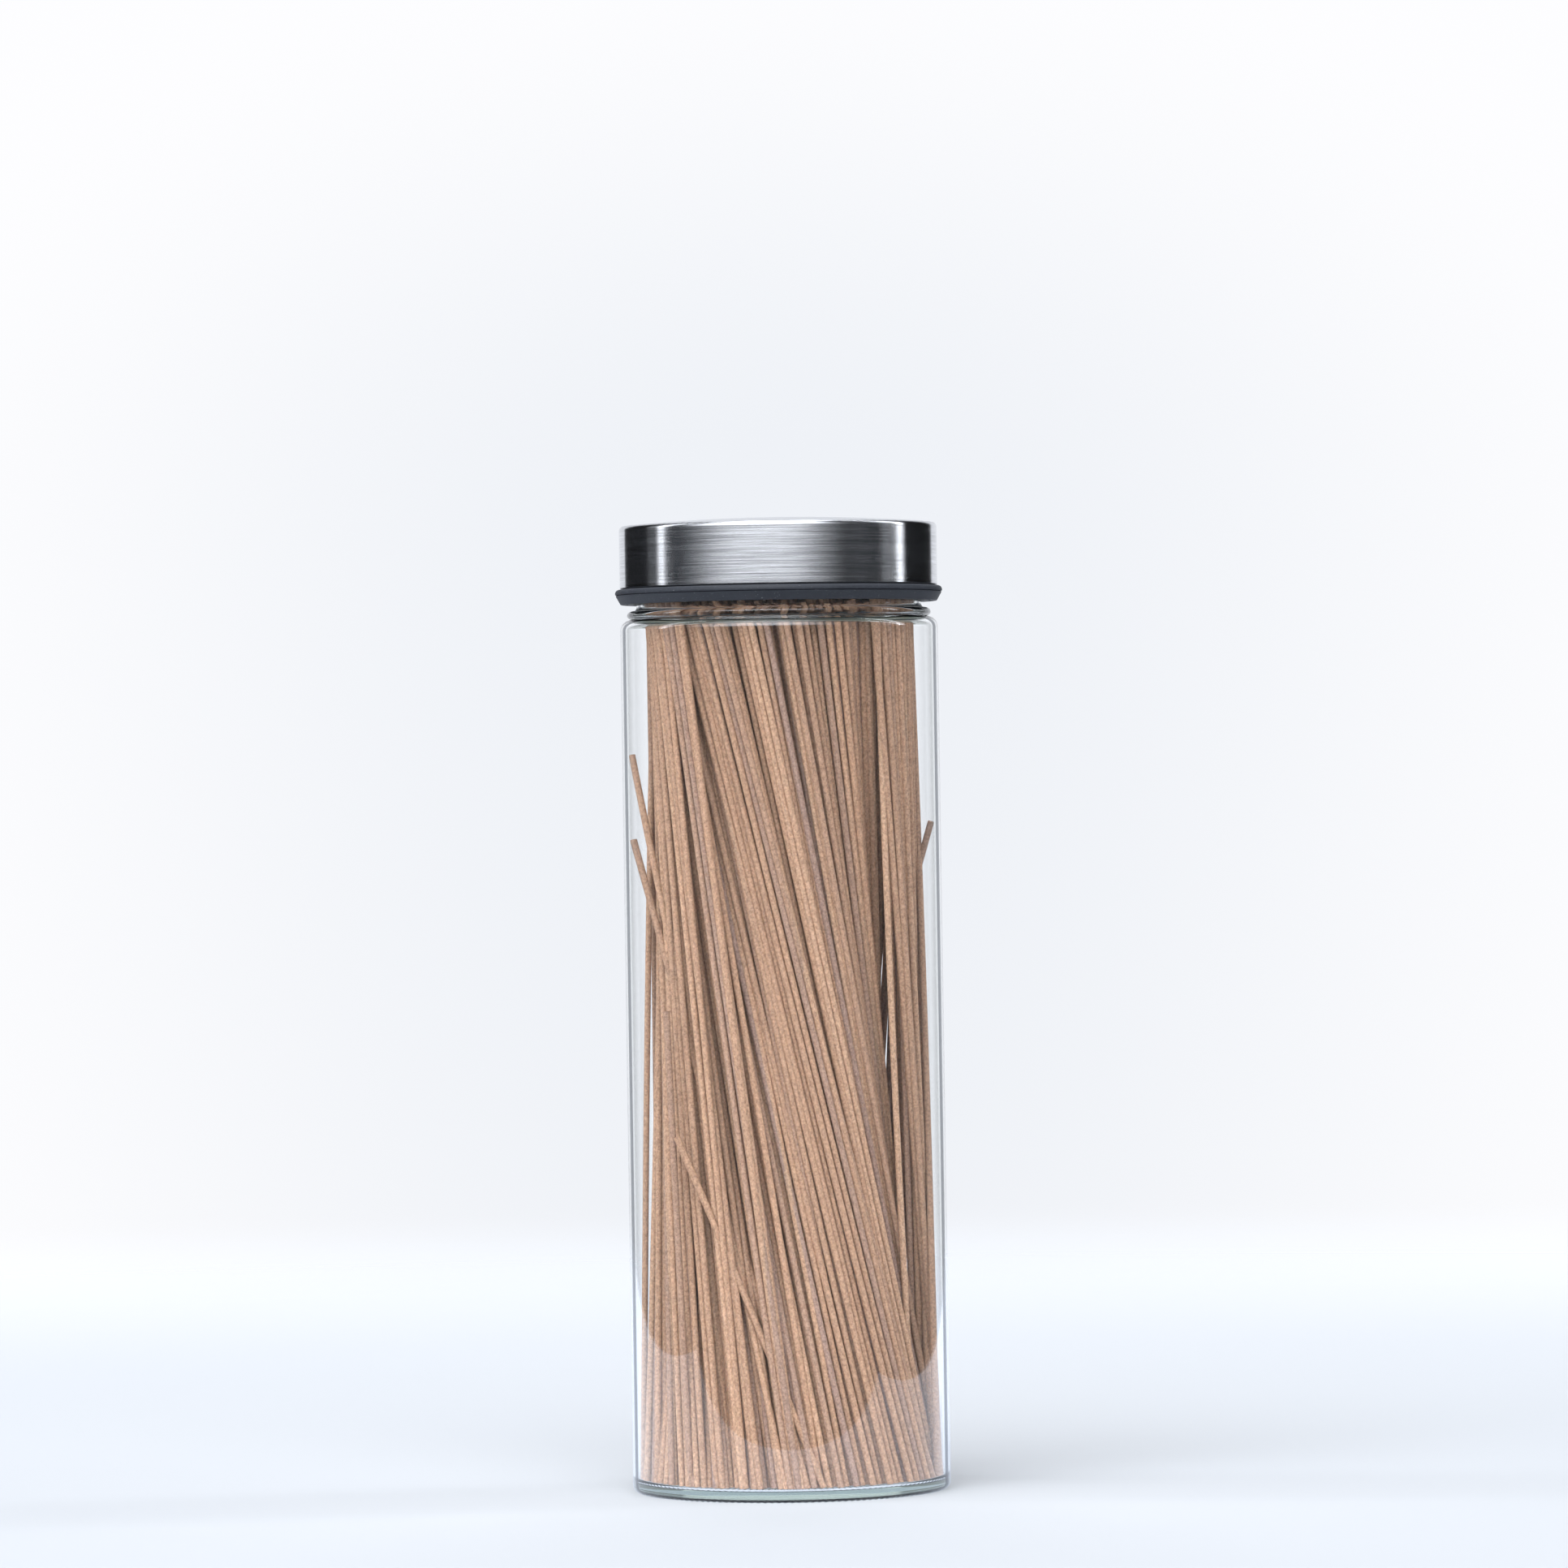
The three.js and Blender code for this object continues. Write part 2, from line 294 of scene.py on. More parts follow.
def addSurroundings():
    world = bpy.data.worlds.new("studio")
    bpy.context.scene.world = world
    world.use_nodes = True
    tree = world.node_tree
    place = addNode(tree, "ShaderNodeTexCoord")
    parts = addNode(tree, "ShaderNodeSeparateXYZ")
    tree.links.new(place.outputs["Generated"], parts.inputs[0])
    x, y, z = parts.outputs
    turn = sums(tree, "ARCTAN2", x, sums(tree, "MULTIPLY", y, -1))
    turn = sums(tree, "MULTIPLY", turn, 180 / math.pi)
    rise = sums(tree, "MULTIPLY", sums(tree, "ARCSINE", z, 0), 180 / math.pi)

    total = surroundings["dark"]
    for source in studioLights.values():
        away = sums(tree, "SUBTRACT", turn, source["turn"])
        away = sums(tree, "ABSOLUTE", away, 0)
        away = sums(tree, "MINIMUM", away, sums(tree, "SUBTRACT", 360, away))
        share = smoothBump(tree, away, source["halfWidth"], source["soft"])
        low = spread(tree, rise, 0, 1, source["low"] - source["lowSoft"] / 2,
                     source["low"] + source["lowSoft"] / 2, smooth=True)
        high = smoothBump(tree, rise, source["high"], source["highSoft"])
        share = sums(tree, "MULTIPLY", share, sums(tree, "MULTIPLY", low, high))
        total = sums(tree, "ADD", total, sums(tree, "MULTIPLY", share, source["strength"]))
    ray = addNode(tree, "ShaderNodeLightPath")
    through = sums(tree, "MULTIPLY", ray.outputs["Is Transmission Ray"],
                   surroundings["throughGlass"])
    total = sums(tree, "ADD", total, through)
    ceiling = spread(tree, rise, 0, surroundings["ceiling"], surroundings["ceilingLow"],
                     surroundings["ceilingHigh"], smooth=True)
    total = sums(tree, "ADD", total, ceiling)
    dimmed = spread(tree, ray.outputs["Is Diffuse Ray"], 1, surroundings["forDiffuse"])
    total = sums(tree, "MULTIPLY", total, dimmed)
    patches = addNode(tree, "ShaderNodeBackground")
    patches.inputs["Color"].default_value = (*surroundings["tint"], 1)
    tree.links.new(total, patches.inputs["Strength"])

    sideways = sums(tree, "SUBTRACT", 180, sums(tree, "ABSOLUTE", turn, 0))
    upwards = sums(tree, "SUBTRACT", rise, surroundings["nearRise"])
    upwards = sums(tree, "MAXIMUM", sums(tree, "MULTIPLY", upwards, surroundings["upwardStretch"]),
                   sums(tree, "MULTIPLY", upwards, -surroundings["downwardStretch"]))
    distance = sums(tree, "POWER", sums(tree, "ADD", sums(tree, "POWER", sideways, 2),
                                        sums(tree, "POWER", upwards, 2)), 0.5)
    far = spread(tree, distance, 0, 1, surroundings["nearAngle"], surroundings["farAngle"],
                 smooth=True)
    seen = ramp(tree, far, [(0, surroundings["seenNear"]), (1, surroundings["seenFar"])])
    plain = addNode(tree, "ShaderNodeBackground")
    tree.links.new(seen.outputs["Color"], plain.inputs["Color"])

    mix = addNode(tree, "ShaderNodeMixShader")
    tree.links.new(ray.outputs["Is Camera Ray"], mix.inputs[0])
    tree.links.new(patches.outputs[0], mix.inputs[1])
    tree.links.new(plain.outputs[0], mix.inputs[2])
    tree.links.new(mix.outputs[0], tree.nodes["World Output"].inputs["Surface"])


def addLamps():
    for name, lamp in lamps.items():
        data = bpy.data.lights.new(name, "AREA")
        data.shape = "SQUARE"
        data.size = lamp["size"]
        data.energy = lamp["power"]
        data.color = lampColour
        light = bpy.data.objects.new(name, data)
        light.location = lamp["place"]
        way = Vector(lamp["aim"]) - Vector(lamp["place"])
        light.rotation_euler = way.to_track_quat("-Z", "Y").to_euler()
        light.visible_camera = False
        light.visible_glossy = False
        light.visible_transmission = False
        bpy.context.scene.collection.objects.link(light)


floorSet = {
    "reach": 2.6,
    "below": 0.02 * mm,        # just under the jar's foot
    "steps": 96,
    "roughness": 0.9,
    "solid": 0.5,              # the floor is whole out to here and then fades away
    "gone": 1.5,
    "tone": (0.585, 0.605, 0.625),
    "table": {"left": -0.60, "right": 0.47, "front": -0.225},     # what the glass reflects of it
    "glow": (0.20, 0.24, 0.34),                                   # and how pale that looks
}


def addFloor():
    verts = [(0, 0, 0)]
    faces = []
    steps = floorSet["steps"]
    for i in range(steps):
        angle = 2 * math.pi * i / steps
        verts.append((floorSet["reach"] * math.cos(angle), floorSet["reach"] * math.sin(angle), 0))
        faces.append((0, 1 + i, 1 + (i + 1) % steps))
    floor = meshObject("studio_floor", verts, faces, 40)
    floor.location.z = -floorSet["below"]
    material, tree, shader = newMaterial("pale floor")
    shader.inputs["Base Color"].default_value = (*floorSet["tone"], 1)
    shader.inputs["Roughness"].default_value = floorSet["roughness"]
    shader.inputs["Specular IOR Level"].default_value = 0.0
    place = addNode(tree, "ShaderNodeTexCoord")
    length = addNode(tree, "ShaderNodeVectorMath")
    length.operation = "LENGTH"
    tree.links.new(place.outputs["Object"], length.inputs[0])
    whole = spread(tree, length.outputs["Value"], 0, 1, floorSet["solid"], floorSet["gone"], True)
    parts = addNode(tree, "ShaderNodeSeparateXYZ")
    tree.links.new(place.outputs["Object"], parts.inputs[0])
    table = floorSet["table"]
    beyond = sums(tree, "LESS_THAN", parts.outputs[1], table["front"])
    beyond = sums(tree, "MAXIMUM", beyond, sums(tree, "LESS_THAN", parts.outputs[0], table["left"]))
    beyond = sums(tree, "MAXIMUM", beyond,
                  sums(tree, "GREATER_THAN", parts.outputs[0], table["right"]))
    ray = addNode(tree, "ShaderNodeLightPath")
    hidden = sums(tree, "MULTIPLY", beyond, ray.outputs["Is Glossy Ray"])
    shader.inputs["Emission Color"].default_value = (*floorSet["glow"], 1)
    tree.links.new(ray.outputs["Is Glossy Ray"], shader.inputs["Emission Strength"])
    clear = addNode(tree, "ShaderNodeBsdfTransparent")
    mix = addNode(tree, "ShaderNodeMixShader")
    tree.links.new(sums(tree, "MAXIMUM", whole, hidden), mix.inputs[0])
    tree.links.new(shader.outputs[0], mix.inputs[1])
    tree.links.new(clear.outputs[0], mix.inputs[2])
    tree.links.new(mix.outputs[0], tree.nodes["Material Output"].inputs["Surface"])
    floor.data.materials.append(material)


# ---- glass jar ----

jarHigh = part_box("glass_jar")[1]
jarSet = {
    "radius": jarHigh.x,
    "rim": jarHigh.z,
    "wall": 1.5 * mm,
    "floor": 3.2 * mm,
    "recess": 0.8 * mm,
    "footInner": 37 * mm,
    "footSlope": 3 * mm,
    "baseRound": 2 * mm,
    "insideRound": 1.6 * mm,
    "shoulder": 252.6 * mm,
    "shoulderRound": 3.2 * mm,
    "beadFoot": 42.6 * mm,
    "beadDepth": 1.4 * mm,
    "beadHeight": 2.5 * mm,
    "neck": 41.3 * mm,
    "neckInside": 39.7 * mm,
    "neckBlend": 1 * mm,
    "rimRound": 0.9 * mm,
    "neckInsideRound": 0.8 * mm,
    "turns": 576,
    "feet": 144,               # small radial ribs moulded in the ring that the jar stands on
    "feetDepth": 0.4 * mm,
    "feetTop": 1.2 * mm,       # nothing above this height is ribbed
    "feetFade": (6, 3),        # how fast the ribs come in at the inner edge and go at the outer
    "footShares": (0, 0.15, 0.5, 0.85, 1),
    "refraction": 1.5,
    "waves": (18, 18, 14),     # slow ripples in the wall
    "wavesBump": 0.05,
    "film": (60, 60, 35),      # faint uneven film on the surface
    "filmRoughness": (0.0, 0.012),
    "shadowTint": (0.94, 0.955, 0.95),
    # painted shade: a dark line drawn into the glass colour where the wall is turned this far away,
    # its softness and its colour
    "paintedEdgeLine": (0.755, 0.825),     # how far the wall is turned away where the dark line is
    "paintedEdgeSoft": 0.02,
    "paintedEdgeShade": (0.02, 0.024, 0.03),
    # painted glow: beyond this ray depth the glass itself gives off a dim grey-green
    "deepBounces": 6,
    "paintedGlowTone": (0.22, 0.26, 0.24),
    "bodyTint": (0.74, 0.80, 0.77),
    "bodyDensity": 34.0,
}
jarInside = jarSet["radius"] - jarSet["wall"]


def jarProfile():
    j = jarSet
    radius = j["radius"]
    shoulderEnd = radius - j["shoulderRound"]
    insideEnd = j["neckInside"] + j["neckInsideRound"]
    lip = (j["neck"] - j["neckInside"]) / 2
    beadTop = j["shoulder"] + j["beadHeight"]
    insideTop = j["shoulder"] - j["wall"]
    insideRound = j["shoulderRound"] - j["wall"]
    points = [(0, j["recess"]), (j["footInner"] - j["footSlope"], j["recess"])]
    width = radius - j["baseRound"] - j["footInner"]
    for share in j["footShares"]:
        points.append((j["footInner"] + width * share, 0))
    points += arcPoints(radius - j["baseRound"], j["baseRound"], j["baseRound"],
                        j["baseRound"], -80, 0, 8)
    points += arcPoints(shoulderEnd, j["shoulder"] - j["shoulderRound"], j["shoulderRound"],
                        j["shoulderRound"], 0, 90, 12)
    points += arcPoints(j["beadFoot"], j["shoulder"] + j["beadHeight"] / 2, j["beadDepth"],
                        j["beadHeight"] / 2, -90, 90, 14)
    points += arcPoints(j["beadFoot"], beadTop + j["neckBlend"], j["beadFoot"] - j["neck"],
                        j["neckBlend"], -100, -180, 6)
    points += arcPoints(j["neck"] - lip, j["rim"] - j["rimRound"], lip, j["rimRound"],
                        0, 180, 12)
    points += arcPoints(insideEnd, insideTop + j["neckInsideRound"],
                        j["neckInsideRound"], j["neckInsideRound"], 180, 270, 5)
    points += arcPoints(shoulderEnd, j["shoulder"] - j["shoulderRound"], insideRound,
                        insideRound, 90, 0, 12)
    points += arcPoints(jarInside - j["insideRound"], j["floor"] + j["insideRound"],
                        j["insideRound"], j["insideRound"], 0, -90, 12)
    points.append((0, j["floor"]))
    return points


def footRibs(r, z, angle):
    # the ribs fade out at both edges of the resting ring
    ring = (r - jarSet["footInner"]) / (jarSet["radius"] - jarSet["footInner"])
    if z > jarSet["feetTop"] or not 0 < ring < 1:
        return 0
    comeIn, goOut = jarSet["feetFade"]
    share = min(1, comeIn * ring, goOut * (1 - ring))
    wave = 0.5 - 0.5 * math.cos(jarSet["feet"] * angle)
    return jarSet["feetDepth"] * share * wave


def glassMaterial():
    material, tree, shader = newMaterial("clear glass")
    shader.inputs["Transmission Weight"].default_value = 1.0
    shader.inputs["IOR"].default_value = jarSet["refraction"]
    waves = stretchedNoise(tree, jarSet["waves"], 2.0)
    film = stretchedNoise(tree, jarSet["film"], 4.0)
    smoothest, roughest = jarSet["filmRoughness"]
    tree.links.new(spread(tree, film.outputs[0], smoothest, roughest, 0.5, 0.8),
                   shader.inputs["Roughness"])
    bump(tree, shader, waves.outputs[0], jarSet["wavesBump"], 0.2 * mm)
    ray = addNode(tree, "ShaderNodeLightPath")
    # painted shade: a dark line is drawn into the colour just inside the outline, for camera rays
    # only, in place of the wall bending the view round to the dark sides of the room
    weight = addNode(tree, "ShaderNodeLayerWeight")
    turned = weight.outputs["Facing"]
    low, high = jarSet["paintedEdgeLine"]
    soft = jarSet["paintedEdgeSoft"]
    line = sums(tree, "MULTIPLY", spread(tree, turned, 0, 1, low - soft, low, smooth=True),
                spread(tree, turned, 1, 0, high, high + soft, smooth=True))
    line = sums(tree, "MULTIPLY", line, ray.outputs["Is Camera Ray"])
    tone = ramp(tree, line, [(0, (1, 1, 1)), (1, jarSet["paintedEdgeShade"])])
    tree.links.new(tone.outputs["Color"], shader.inputs["Base Color"])
    clear = addNode(tree, "ShaderNodeBsdfTransparent")
    clear.inputs[0].default_value = (*jarSet["shadowTint"], 1)
    mix = addNode(tree, "ShaderNodeMixShader")
    tree.links.new(ray.outputs["Is Shadow Ray"], mix.inputs[0])
    tree.links.new(shader.outputs[0], mix.inputs[1])
    tree.links.new(clear.outputs[0], mix.inputs[2])
    # painted glow: past this many bounces the thick glass emits a dim grey-green in place of light
    # that has gone round inside it many times
    deep = sums(tree, "GREATER_THAN", ray.outputs["Ray Depth"], jarSet["deepBounces"])
    glow = addNode(tree, "ShaderNodeEmission")
    glow.inputs["Color"].default_value = (*jarSet["paintedGlowTone"], 1)
    deepMix = addNode(tree, "ShaderNodeMixShader")
    tree.links.new(deep, deepMix.inputs[0])
    tree.links.new(mix.outputs[0], deepMix.inputs[1])
    tree.links.new(glow.outputs[0], deepMix.inputs[2])
    out = tree.nodes["Material Output"]
    tree.links.new(deepMix.outputs[0], out.inputs["Surface"])
    # grey-green where the view runs a long way through the glass, as in the base and the bead
    tint = addNode(tree, "ShaderNodeVolumeAbsorption")
    tint.inputs["Color"].default_value = (*jarSet["bodyTint"], 1)
    tint.inputs["Density"].default_value = jarSet["bodyDensity"]
    tree.links.new(tint.outputs[0], out.inputs["Volume"])
    return material


def addJar():
    jar = turnedMesh("jar_glass", jarProfile(), jarSet["turns"], lift=footRibs, sharpAngle=50)
    finishPiece(jar, "jar", glassMaterial(), ["glass_jar"])


# ---- steel cap ----

capLow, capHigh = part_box("steel_cap")
capSet = {
    "radius": capHigh.x,
    "bottom": capLow.z,
    "top": capHigh.z,
    "crown": 1.9 * mm,
    "wall": 0.6 * mm,
    "round": 1.3 * mm,
    "hem": 0.12 * mm,          # small rounding of the lower edge
    "turns": 288,
    "crownRings": 10,
    "topStart": 0.3,           # share of the edge's round that has the top's brushing
    "side": {"fine": (55, 55, 5200), "coarse": (32, 32, 2300), "roughness": (0.17, 0.23)},
    "face": {"fine": (45, 5200, 45), "coarse": (25, 1500, 25), "roughness": (0.24, 0.32)},
    "tones": [(0, (0.60, 0.61, 0.63)), (0.5, (0.75, 0.76, 0.78)), (1, (0.90, 0.91, 0.93))],
    "streakRange": (0.7, 1.3),
    "grain": (1.0, 0.25),      # how strongly brushing stretches the gloss, and its turn
    "bump": 0.4,
    "bumpDepth": 0.02 * mm,
}


def capProfile():
    c = capSet
    edge = c["radius"] - c["round"]
    rim = c["top"] - c["crown"]
    inner = c["round"] - c["wall"]
    inside = []
    outside = []
    for i in range(c["crownRings"]):
        share = i / c["crownRings"]
        inside.append((edge * share, rim - c["wall"] + c["crown"] * (1 - share * share)))
        outside.append((edge * share, rim + c["crown"] * (1 - share * share)))
    hem = c["hem"]
    points = inside
    points += arcPoints(edge, rim - c["round"], inner, inner, 90, 0, 5)
    points.append((c["radius"] - c["wall"], c["bottom"] + hem))
    points.append((c["radius"] - c["wall"] + hem, c["bottom"]))
    points.append((c["radius"] - hem, c["bottom"]))
    points.append((c["radius"], c["bottom"] + hem))
    points += arcPoints(edge, rim - c["round"], c["round"], c["round"], 0, 85, 10)
    points += outside[::-1]
    return points


def steelMaterial(name, streaks, turnedGrain):
    material, tree, shader = newMaterial(name)
    shader.inputs["Metallic"].default_value = 1.0
    fine = stretchedNoise(tree, streaks["fine"], 4.0, 0.65)
    coarse = stretchedNoise(tree, streaks["coarse"], 3.0, 0.6)
    both = sums(tree, "ADD", fine.outputs[0], coarse.outputs[0])
    weak, strong = capSet["streakRange"]
    tone = ramp(tree, spread(tree, both, 0, 1, weak, strong), capSet["tones"])
    tree.links.new(tone.outputs["Color"], shader.inputs["Base Color"])
    low, high = streaks["roughness"]
    tree.links.new(spread(tree, both, low, high, weak, strong), shader.inputs["Roughness"])
    if turnedGrain:
        stretch, turn = capSet["grain"]
        shader.inputs["Anisotropic"].default_value = stretch
        shader.inputs["Anisotropic Rotation"].default_value = turn
        tangent = addNode(tree, "ShaderNodeTangent")
        tangent.direction_type = "RADIAL"
        tangent.axis = "Z"
        tree.links.new(tangent.outputs[0], shader.inputs["Tangent"])
    bump(tree, shader, both, capSet["bump"], capSet["bumpDepth"])
    return material


def addCap():
    cap = turnedMesh("cap_steel", capProfile(), capSet["turns"], sharpAngle=50)
    side = steelMaterial("steel brushed round the side", capSet["side"], True)
    top = steelMaterial("steel brushed across the top", capSet["face"], False)
    finishPiece(cap, "lid", side, ["steel_cap"])
    cap.data.materials.append(top)
    shoulder = capSet["top"] - capSet["crown"] - capSet["round"] * capSet["topStart"]
    for face in cap.data.polygons:
        if face.center.z > shoulder:
            face.material_index = 1


# ---- grip ring ----

ringLow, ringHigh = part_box("grip_ring")
ringSet = {
    "widest": ringHigh.x,
    "bottom": ringLow.z,
    "top": ringHigh.z,
    "inside": 44 * mm,
    "taper": 1.4 * mm,
    "lip": 1.2 * mm,
    "footRound": 0.4 * mm,
    "groove": 0.3 * mm,        # fine groove under the lip
    "grooveEdge": 0.2 * mm,    # how far in from the widest place the groove's upper edge is
    "grooveFoot": 0.32 * mm,   # the same for the wall below it
    "grooveDrops": (0.95 * mm, 0.6 * mm, 0.38 * mm),     # below the lip's middle, upwards
    "dark": (0.018, 0.021, 0.028),
    "pale": (0.030, 0.034, 0.043),
    "roughness": 0.62,
    "dust": 0.4,
    "tongueDepth": 0.8 * mm,
    "tongueHeight": 1.4 * mm,
    "turns": 288,
}


def ringProfile():
    g = ringSet
    narrow = g["widest"] - g["taper"]
    middle = (g["bottom"] + g["top"]) / 2
    half = g["tongueHeight"] / 2
    points = [(g["inside"], g["bottom"])]
    points += arcPoints(narrow - g["footRound"], g["bottom"] + g["footRound"],
                        g["footRound"], g["footRound"], -90, -15, 6)
    lipZ = g["top"] - g["lip"]
    low, middleDrop, high = g["grooveDrops"]
    grooveWall = g["widest"] - g["grooveEdge"]
    points += [(g["widest"] - g["grooveFoot"], lipZ - low), (grooveWall, lipZ - middleDrop),
               (grooveWall - g["groove"], lipZ - high)]
    points += arcPoints(g["widest"] - g["lip"], lipZ, g["lip"], g["lip"], -16, 90, 14)
    points.append((g["inside"], g["top"]))
    points.append((g["inside"], middle + half))
    points.append((g["inside"] - g["tongueDepth"], middle + half))
    points.append((g["inside"] - g["tongueDepth"], middle - half))
    points.append((g["inside"], middle - half))
    return points


siliconeSet = {
    "mottle": (900, 900, 900),
    "cloud": (70, 70, 120),
    "range": (0.75, 1.25),
    "specks": (2600, 2600, 2600),
    "speckRange": (0.68, 0.78),
    "dustTone": (0.55, 0.56, 0.58),
    "roughnessSpread": 0.08,
    "shine": 0.4,
    "bump": 0.25,
    "bumpDepth": 0.05 * mm,
}


def siliconeMaterial(name, look):
    s = siliconeSet
    material, tree, shader = newMaterial(name)
    mottle = stretchedNoise(tree, s["mottle"], 4.0, 0.6)
    cloud = stretchedNoise(tree, s["cloud"], 3.0)
    both = sums(tree, "ADD", mottle.outputs[0], cloud.outputs[0])
    low, high = s["range"]
    tone = ramp(tree, spread(tree, both, 0, 1, low, high), [(0, look["dark"]), (1, look["pale"])])
    specks = stretchedNoise(tree, s["specks"], 2.0, 0.5)
    dusty = spread(tree, specks.outputs[0], 0, look["dust"], *s["speckRange"])
    mix = addNode(tree, "ShaderNodeMix", data_type="RGBA")
    tree.links.new(dusty, mix.inputs[0])
    tree.links.new(tone.outputs["Color"], mix.inputs[6])
    mix.inputs[7].default_value = (*s["dustTone"], 1)
    tree.links.new(mix.outputs[2], shader.inputs["Base Color"])
    smoothest = look["roughness"] - s["roughnessSpread"]
    roughest = look["roughness"] + s["roughnessSpread"]
    tree.links.new(spread(tree, both, smoothest, roughest, low, high), shader.inputs["Roughness"])
    shader.inputs["Specular IOR Level"].default_value = s["shine"]
    bump(tree, shader, mottle.outputs[0], s["bump"], s["bumpDepth"])
    return material


def addRing():
    ring = turnedMesh("grip_ring_silicone", ringProfile(), ringSet["turns"], ringed=True)
    material = siliconeMaterial("slate silicone", ringSet)
    finishPiece(ring, "lid", material, ["grip_ring"])


# ---- lid core ----

coreLow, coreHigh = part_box("lid_body")
coreSet = {
    "radius": coreHigh.x,
    "bottom": coreLow.z,
    "top": coreHigh.z,
    "wallInside": 43.3 * mm,
    "skirtInside": 41.9 * mm,
    "skirtOutside": 43.7 * mm,
    "leadIn": 0.6 * mm,
    "deckUnder": 272.6 * mm,
    "deck": 274.6 * mm,
    "capEdge": capLow.z,
    "plug": 38.1 * mm,
    "plugInside": 35.5 * mm,
    "plugBottom": 261.8 * mm,
    "plugFloor": 263.8 * mm,
    "plugRound": 1 * mm,
    "groove": 1.3 * mm,
    "grooveLow": 263.1 * mm,
    "grooveHigh": 270.1 * mm,
    "edge": 0.25 * mm,         # small rounding of the moulded corners
    "topChamfer": 1.3 * mm,
    "webs": 8,
    "webThickness": 1.4 * mm,
    "webBevel": 0.3 * mm,
    "webSink": 0.5 * mm,       # webs and hub reach this far into what they stand on
    "webEnd": 0.4 * mm,
    "hub": 6 * mm,
    "hubTurns": 48,
    "ringGap": 0.3 * mm,       # room for the ring's tongue in its slot
    "turns": 192,
    "grain": (1500, 1500, 1500),
    "cloud": (40, 40, 40),
    "tones": [(0.3, (0.088, 0.097, 0.112)), (0.7, (0.112, 0.122, 0.138))],
    "roughness": (0.38, 0.56),
    "bump": 0.2,
    "bumpDepth": 0.03 * mm,
}


def coreProfile():
    c = coreSet
    e = c["edge"]
    skirtBottom = c["bottom"]
    tongueLow = (ringLow.z + ringHigh.z - ringSet["tongueHeight"]) / 2 - c["ringGap"]
    tongueHigh = (ringLow.z + ringHigh.z + ringSet["tongueHeight"]) / 2 + c["ringGap"]
    tongueDepth = c["skirtOutside"] - ringSet["tongueDepth"]
    points = [(0, c["plugBottom"])]
    points += arcPoints(c["plug"] - c["plugRound"], c["plugBottom"] + c["plugRound"],
                        c["plugRound"], c["plugRound"], -90, 0, 6)
    points += [(c["plug"], c["grooveLow"]), (c["plug"] - c["groove"], c["grooveLow"]),
               (c["plug"] - c["groove"], c["grooveHigh"]), (c["plug"], c["grooveHigh"]),
               (c["plug"], c["deckUnder"] - e), (c["plug"] + e, c["deckUnder"]),
               (c["skirtInside"] - e, c["deckUnder"]), (c["skirtInside"], c["deckUnder"] - e),
               (c["skirtInside"], skirtBottom + c["leadIn"]),
               (c["skirtInside"] + c["leadIn"], skirtBottom),
               (c["skirtOutside"], skirtBottom), (c["skirtOutside"], tongueLow),
               (tongueDepth, tongueLow), (tongueDepth, tongueHigh),
               (c["skirtOutside"], tongueHigh), (c["skirtOutside"], c["capEdge"]),
               (c["radius"], c["capEdge"]), (c["radius"], c["top"] - c["topChamfer"]),
               (c["radius"] - c["topChamfer"], c["top"]), (c["wallInside"], c["top"]),
               (c["wallInside"], c["deck"]), (c["plugInside"] + e, c["deck"]),
               (c["plugInside"], c["deck"] - e), (c["plugInside"], c["plugFloor"]),
               (0, c["plugFloor"])]
    return points


def addWebs(material):
    # radial webs and a hub that stiffen the plug's floor, seen when the cap is off
    c = coreSet
    low = c["plugFloor"] - c["webSink"]
    verts = []
    faces = []
    half = c["webThickness"] / 2
    bevel = c["webBevel"]
    for i in range(c["webs"]):
        angle = 2 * math.pi * i / c["webs"]
        along = (math.cos(angle), math.sin(angle))
        across = (-along[1], along[0])
        start = len(verts)
        for reach in (c["hub"] - c["webSink"], c["plugInside"] + c["webEnd"]):
            for side, z in ((-half, low), (half, low), (half, c["deck"] - bevel),
                            (half - bevel, c["deck"]), (bevel - half, c["deck"]),
                            (-half, c["deck"] - bevel)):
                verts.append((along[0] * reach + across[0] * side,
                              along[1] * reach + across[1] * side, z))
        for k in range(6):
            n = (k + 1) % 6
            faces.append((start + k, start + 6 + k, start + 6 + n, start + n))
        faces.append(tuple(start + k for k in range(6)))
        faces.append(tuple(start + 11 - k for k in range(6)))
    webs = meshObject("core_webs", verts, faces, 30)
    finishPiece(webs, "lid", material)
    hubProfile = [(0, low), (c["hub"], low), (c["hub"], c["deck"] - bevel),
                  (c["hub"] - bevel, c["deck"]), (0, c["deck"])]
    hub = turnedMesh("core_hub", hubProfile, c["hubTurns"], sharpAngle=30)
    finishPiece(hub, "lid", material)


def plasticMaterial():
    c = coreSet
    material, tree, shader = newMaterial("grey moulded plastic")
    grain = stretchedNoise(tree, c["grain"], 3.0, 0.6)
    cloud = stretchedNoise(tree, c["cloud"], 2.0)
    tone = ramp(tree, cloud.outputs[0], c["tones"])
    tree.links.new(tone.outputs["Color"], shader.inputs["Base Color"])
    tree.links.new(spread(tree, grain.outputs[0], *c["roughness"]), shader.inputs["Roughness"])
    bump(tree, shader, grain.outputs[0], c["bump"], c["bumpDepth"])
    return material


def addCore():
    material = plasticMaterial()
    core = turnedMesh("core_plastic", coreProfile(), coreSet["turns"], sharpAngle=30)
    finishPiece(core, "lid", material, ["lid_body"])
    addWebs(material)


# ---- plug seal ----

sealLow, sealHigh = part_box("plug_seal")
sealSet = {
    "reach": sealHigh.x,
    "bottom": sealLow.z,
    "top": 269.8 * mm,
    "foot": 37.1 * mm,
    "fins": 3,
    "finRoot": 0.8 * mm,
    "finTip": 0.4 * mm,
    "lean": 0.5 * mm,
    "base": 38.1 * mm,
    "turns": 256,
    "dark": (0.54, 0.56, 0.59),
    "pale": (0.64, 0.66, 0.69),
    "roughness": 0.42,
    "dust": 0.1,
}


